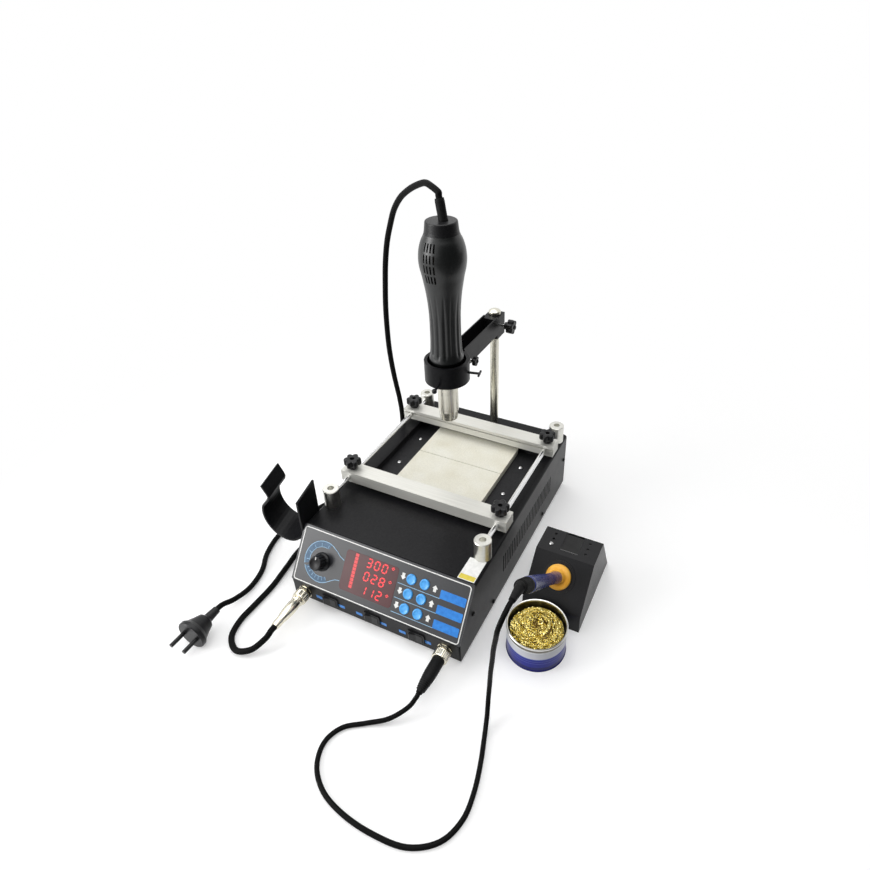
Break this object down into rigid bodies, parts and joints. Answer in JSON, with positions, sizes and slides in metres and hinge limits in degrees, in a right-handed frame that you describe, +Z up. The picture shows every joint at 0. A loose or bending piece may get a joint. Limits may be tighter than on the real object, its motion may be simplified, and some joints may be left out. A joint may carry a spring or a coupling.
{
  "type": "soldering rework station",
  "caption": "Bench rework station: a preheating plate under a sliding board clamp, a hot-air gun on a pole arm, and a soldering iron in a stand beside a tip cleaner.",
  "frame": {"origin": "on the bench under the middle of the housing's footprint", "axes": "+X to the right seen from the front, the control panel faces -Y, +Z up"},
  "size_m": [0.4162, 0.6134, 0.4592],
  "materials": {
    "black_paint": "satin powder coat",
    "panel_film": "printed film",
    "red_window": "tinted acrylic",
    "black_rubber": "matt",
    "ceramic": "fine grain",
    "bright_steel": "brushed",
    "plated": "nickel plated",
    "aluminium": "natural anodised",
    "black_plastic": "moulded",
    "blue_buttons": "moulded",
    "copper_iron": "lacquered",
    "green_board": "solder mask",
    "bronze": "turned",
    "tinplate": "bright",
    "brass_turnings": "bright shavings",
    "blue_grip": "soft",
    "yellow_collar": "moulded"
  },
  "bodies": {
    "station": {"base_tray": "black_paint", "top_cover": "black_paint", "front_panel": "panel_film", "display_window": "red_window", "rubber_feet": "black_rubber", "heater_deck": "black_paint", "ceramic_plates": "ceramic", "screws": "bright_steel", "clamp_posts": "aluminium", "guide_rods": "bright_steel", "rocker_bezels": "black_plastic", "lead_sockets": "plated", "mains_gland": "black_plastic", "transformer": "copper_iron", "circuit_boards": "green_board", "pole": "bright_steel", "gun_cradle": "black_paint", "iron_stand": "black_paint", "iron_spring": "black_paint", "cleaning_tin": "tinplate", "brass_wool": "brass_turnings", "gun_lead": "black_rubber", "iron_lead": "black_rubber", "lead_plugs": "plated", "mains_lead": "black_rubber", "mains_coil": "black_rubber", "mains_plug": "black_rubber"},
    "front_clamp": {"front_beam": "aluminium"},
    "back_clamp": {"back_beam": "aluminium"},
    "collar": {"pole_bush": "bronze"},
    "arm": {"arm_block": "black_paint", "arm_channel": "black_paint", "gun_ring": "black_paint"},
    "gun": {"gun_shell": "black_plastic", "gun_cap": "black_plastic", "gun_core": "ceramic", "air_tube": "bright_steel", "gun_boot": "black_rubber"},
    "iron": {"iron_handle": "blue_grip", "iron_collar": "yellow_collar", "iron_barrel": "bright_steel", "iron_boot": "black_rubber"},
    "front_left_star_body": {"front_left_star": "black_plastic"},
    "front_right_star_body": {"front_right_star": "black_plastic"},
    "back_left_star_body": {"back_left_star": "black_plastic"},
    "back_right_star_body": {"back_right_star": "black_plastic"},
    "air_knob_body": {"air_knob": "black_plastic"},
    "button_air_down_body": {"button_air_down": "blue_buttons"},
    "button_air_up_body": {"button_air_up": "blue_buttons"},
    "button_heat_down_body": {"button_heat_down": "blue_buttons"},
    "button_heat_up_body": {"button_heat_up": "blue_buttons"},
    "button_iron_down_body": {"button_iron_down": "blue_buttons"},
    "button_iron_up_body": {"button_iron_up": "blue_buttons"},
    "rocker_gun_body": {"rocker_gun": "black_plastic"},
    "rocker_heater_body": {"rocker_heater": "black_plastic"},
    "rocker_iron_body": {"rocker_iron": "black_plastic"},
    "arm_knob_body": {"arm_knob": "black_plastic"},
    "ring_knob_body": {"ring_knob": "black_plastic"},
    "ring_screw_right_body": {"ring_screw_right": "black_paint"},
    "ring_screw_left_body": {"ring_screw_left": "black_paint"}
  },
  "joints": [
    {"name": "front_beam_slide", "type": "slide", "parent": "station", "child": "front_clamp", "axis": [0, 1, 0], "range_m": [-0.026, 0.064]},
    {"name": "back_beam_slide", "type": "slide", "parent": "station", "child": "back_clamp", "axis": [0, 1, 0], "range_m": [-0.064, 0.016]},
    {"name": "front_left_star_turn", "type": "hinge", "parent": "front_clamp", "child": "front_left_star_body", "pos_m": [-0.102, -0.0415, 0.118], "axis": [0, 0, 1], "range_deg": [-180, 180]},
    {"name": "front_right_star_turn", "type": "hinge", "parent": "front_clamp", "child": "front_right_star_body", "pos_m": [0.102, -0.0415, 0.118], "axis": [0, 0, 1], "range_deg": [-180, 180]},
    {"name": "back_left_star_turn", "type": "hinge", "parent": "back_clamp", "child": "back_left_star_body", "pos_m": [-0.102, 0.1135, 0.118], "axis": [0, 0, 1], "range_deg": [-180, 180]},
    {"name": "back_right_star_turn", "type": "hinge", "parent": "back_clamp", "child": "back_right_star_body", "pos_m": [0.102, 0.1135, 0.118], "axis": [0, 0, 1], "range_deg": [-180, 180]},
    {"name": "air_knob_turn", "type": "hinge", "parent": "station", "child": "air_knob_body", "pos_m": [-0.077, -0.1521, 0.05921], "axis": [0, 0.8161, -0.5779], "range_deg": [0, 270]},
    {"name": "button_air_down_press", "type": "slide", "parent": "station", "child": "button_air_down_body", "axis": [0, 0.8161, -0.5779], "range_m": [0, 0.0009], "stiffness_N_per_m": 600, "springref_m": -0.001},
    {"name": "button_air_up_press", "type": "slide", "parent": "station", "child": "button_air_up_body", "axis": [0, 0.8161, -0.5779], "range_m": [0, 0.0009], "stiffness_N_per_m": 600, "springref_m": -0.001},
    {"name": "button_heat_down_press", "type": "slide", "parent": "station", "child": "button_heat_down_body", "axis": [0, 0.8161, -0.5779], "range_m": [0, 0.0009], "stiffness_N_per_m": 600, "springref_m": -0.001},
    {"name": "button_heat_up_press", "type": "slide", "parent": "station", "child": "button_heat_up_body", "axis": [0, 0.8161, -0.5779], "range_m": [0, 0.0009], "stiffness_N_per_m": 600, "springref_m": -0.001},
    {"name": "button_iron_down_press", "type": "slide", "parent": "station", "child": "button_iron_down_body", "axis": [0, 0.8161, -0.5779], "range_m": [0, 0.0009], "stiffness_N_per_m": 600, "springref_m": -0.001},
    {"name": "button_iron_up_press", "type": "slide", "parent": "station", "child": "button_iron_up_body", "axis": [0, 0.8161, -0.5779], "range_m": [0, 0.0009], "stiffness_N_per_m": 600, "springref_m": -0.001},
    {"name": "rocker_gun_tip", "type": "hinge", "parent": "station", "child": "rocker_gun_body", "pos_m": [-0.058, -0.16977, 0.02], "axis": [0, 0, -1], "range_deg": [0, 18]},
    {"name": "rocker_heater_tip", "type": "hinge", "parent": "station", "child": "rocker_heater_body", "pos_m": [0, -0.16977, 0.02], "axis": [0, 0, -1], "range_deg": [0, 18]},
    {"name": "rocker_iron_tip", "type": "hinge", "parent": "station", "child": "rocker_iron_body", "pos_m": [0.058, -0.16977, 0.02], "axis": [0, 0, -1], "range_deg": [0, 18]},
    {"name": "collar_slide", "type": "slide", "parent": "station", "child": "collar", "axis": [0, 0, 1], "range_m": [-0.05, 0], "deforming": ["gun_lead"]},
    {"name": "arm_swivel", "type": "hinge", "parent": "collar", "child": "arm", "pos_m": [0.005, 0.157, 0.246], "axis": [0, 0, 1], "range_deg": [-35, 35], "deforming": ["gun_lead"]},
    {"name": "arm_knob_turn", "type": "hinge", "parent": "arm", "child": "arm_knob_body", "pos_m": [0.03, 0.157, 0.2465], "axis": [1, 0, 0], "range_deg": [-180, 180]},
    {"name": "ring_knob_turn", "type": "hinge", "parent": "arm", "child": "ring_knob_body", "pos_m": [0.028, 0.0535, 0.2475], "axis": [1, 0, 0], "range_deg": [-180, 180]},
    {"name": "ring_screw_right_turn", "type": "hinge", "parent": "arm", "child": "ring_screw_right_body", "pos_m": [0.03239, 0.02732, 0.247], "axis": [0.9781, 0.2079, 0], "range_deg": [-180, 180]},
    {"name": "ring_screw_left_turn", "type": "hinge", "parent": "arm", "child": "ring_screw_left_body", "pos_m": [0.00841, -0.00629, 0.242], "axis": [0.1219, -0.9925, 0], "range_deg": [-180, 180]},
    {"name": "gun_lift", "type": "slide", "parent": "arm", "child": "gun", "axis": [0, 0, 1], "range_m": [0, 0.06], "deforming": ["gun_lead"]},
    {"name": "iron_pull", "type": "slide", "parent": "station", "child": "iron", "axis": [0, -0.7399, 0.6727], "range_m": [0, 0.08], "deforming": ["iron_lead"]}
  ]
}
